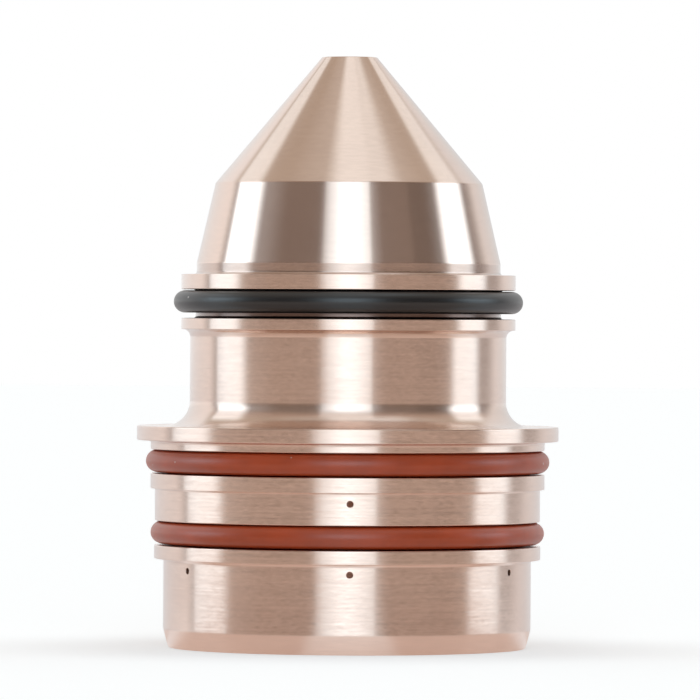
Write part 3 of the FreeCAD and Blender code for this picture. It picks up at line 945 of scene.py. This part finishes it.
# %% [markdown]
# A soft panel is a sum of steps, each with its own brightness and its own two soft edges. The front panel has
# a bright core and a faint halo. One more panel hangs overhead for the cone: it is broad and weak with a
# narrow bright middle.

# %% The soft panels, each part with its brightness, its rise and its fall
PANEL_LIGHT = (1.0, 1.24, 1.4)
FRONT_PANEL = [
    (0.40, (-10.0, -9.2), (8.2, 9.0)),
    (0.35, (-8.9, -7.1), (8.2, 9.0)),
    (0.75, (-7.5, -1.0), (0.0, 10.0)),
    (0.25, (-12.0, -9.0), (8.0, 14.0)),
]
LEFT_PANEL = [(1.2, (38.3, 43.5), (54.6, 56.6)), (0.12, (26, 38), (54.6, 56.6))]
RIGHT_INNER, RIGHT_OUTER, RIGHT_HALO = (39, 43.6), (52, 57.2), (32, 39)
OVERHEAD_PANEL = [(0.15, (-38, -10), (22, 44)), (0.42, (-11, -3), (15, 26))]


def soft_steps(value, parts):
    """The sum of soft steps: each has a brightness, the stretch of its rise and the stretch of its fall."""
    layers = [between(value, rise, fall) * brightness for brightness, rise, fall in parts]
    return sum(layers[1:], layers[0])


def soft_panels(facing, lean, left, right):
    """The brightness of the panels. left and right are the facing, shifted, positive to their own side."""
    front = soft_steps(facing, FRONT_PANEL) * lean.fall(14, 23)
    on_cove = between(facing, (-11, -9), (8, 10)) * between(lean, (15, 19), (32, 36)) * 0.35
    right_panel = right.rise(*RIGHT_INNER) * facing.fall(*RIGHT_OUTER) * 1.15
    right_panel = right_panel + between(facing, RIGHT_HALO, RIGHT_OUTER) * 0.08
    brighter_on_taper = lean.rise(7, 12.5) * 0.48 + 1.0
    dimmer_on_cove = between(lean, (14, 21), (30, 36)) * -0.6 + 1.0
    sides = (soft_steps(left, LEFT_PANEL) + right_panel) * brighter_on_taper
    sides = sides * lean.fall(18, 52) * dimmer_on_cove
    overhead = soft_steps(facing, OVERHEAD_PANEL) * between(lean, (28, 38), (46, 56))
    return front + on_cove + sides + overhead


# %% [markdown]
# On the taper the side panels begin a degree or two nearer to the front, so their edges shift there. Straight
# behind the nozzle everything is the plain white of the backdrop, and so it is for the camera.

# %% Put the room into the world
BACKDROP_EDGE = (0.992, 0.998)
TAPER_SHIFT = 1.6


def studio_room():
    """The world: walls, gaps and panels, and plain white for the camera and straight behind the nozzle."""
    world = bpy.data.worlds.new("studio_room")
    bpy.context.scene.world = world
    world.use_nodes = True
    tree = world.node_tree
    background = next(node for node in tree.nodes if node.type == "BACKGROUND")
    coordinates = tree.nodes.new("ShaderNodeTexCoord")
    x, y, z = split_direction(tree, coordinates.outputs["Generated"])
    facing, lean = facing_and_lean(x, y, z)
    shift = between(lean, (4, 12), (20, 35)) * TAPER_SHIFT
    left = facing * -1.0 + shift
    surroundings = walls_and_gaps(tree, facing, lean, left)
    panels = scaled(tree, soft_panels(facing, lean, left, facing + shift), PANEL_LIGHT)
    light = mix_colour(tree, 1.0, surroundings, panels, "ADD")

    camera, mirrored = rays_that_see(tree)
    white = camera.math("MAXIMUM", mirrored * y.rise(*BACKDROP_EDGE))
    plug(tree, mix_colour(tree, white, light, (1.0, 1.0, 1.0, 1.0)), background.inputs["Color"])
    background.inputs["Strength"].default_value = 1.0
    return world


room = studio_room()
print(len(room.node_tree.nodes), "nodes draw the room")

# %% [markdown]
# ## The camera
# The picture was taken from far away with a long lens, almost level: the horizon lies at a little over half
# the nozzle's height. The lens and the distance set how much the flat faces open up above and below that
# height.

# %% The camera
PICTURE_WIDTH, SENSOR = 700, 36.0
FOCAL_PIXELS, DISTANCE, CAMERA_HEIGHT = 7550, 604.0, 27.16
AIM_ACROSS, AIM_HEIGHT, ROLL = 0.144, 23.8, 0.3

camera_data = bpy.data.cameras.new("camera")
camera_data.sensor_width = SENSOR
camera_data.lens = FOCAL_PIXELS / PICTURE_WIDTH * SENSOR
camera_data.clip_start, camera_data.clip_end = 0.01, 20.0
camera = bpy.data.objects.new("camera", camera_data)
bpy.context.scene.collection.objects.link(camera)
bearing = math.radians(CAMERA_BEARING)
sideways = Vector((math.cos(bearing), math.sin(bearing), 0))
backwards = Vector((math.sin(bearing), -math.cos(bearing), 0))
camera.location = (backwards * DISTANCE + Vector((0, 0, CAMERA_HEIGHT))) * MM
aim = (sideways * AIM_ACROSS + Vector((0, 0, AIM_HEIGHT))) * MM
look = (aim - camera.location).to_track_quat("-Z", "Y")
camera.rotation_mode = "QUATERNION"
camera.rotation_quaternion = look @ Matrix.Rotation(math.radians(ROLL), 3, "Z").to_quaternion()
bpy.context.scene.camera = camera
bpy.context.scene.view_settings.view_transform = "Standard"
print(f"a lens of {camera_data.lens:.0f} mm at {DISTANCE:.0f} mm from the axis")
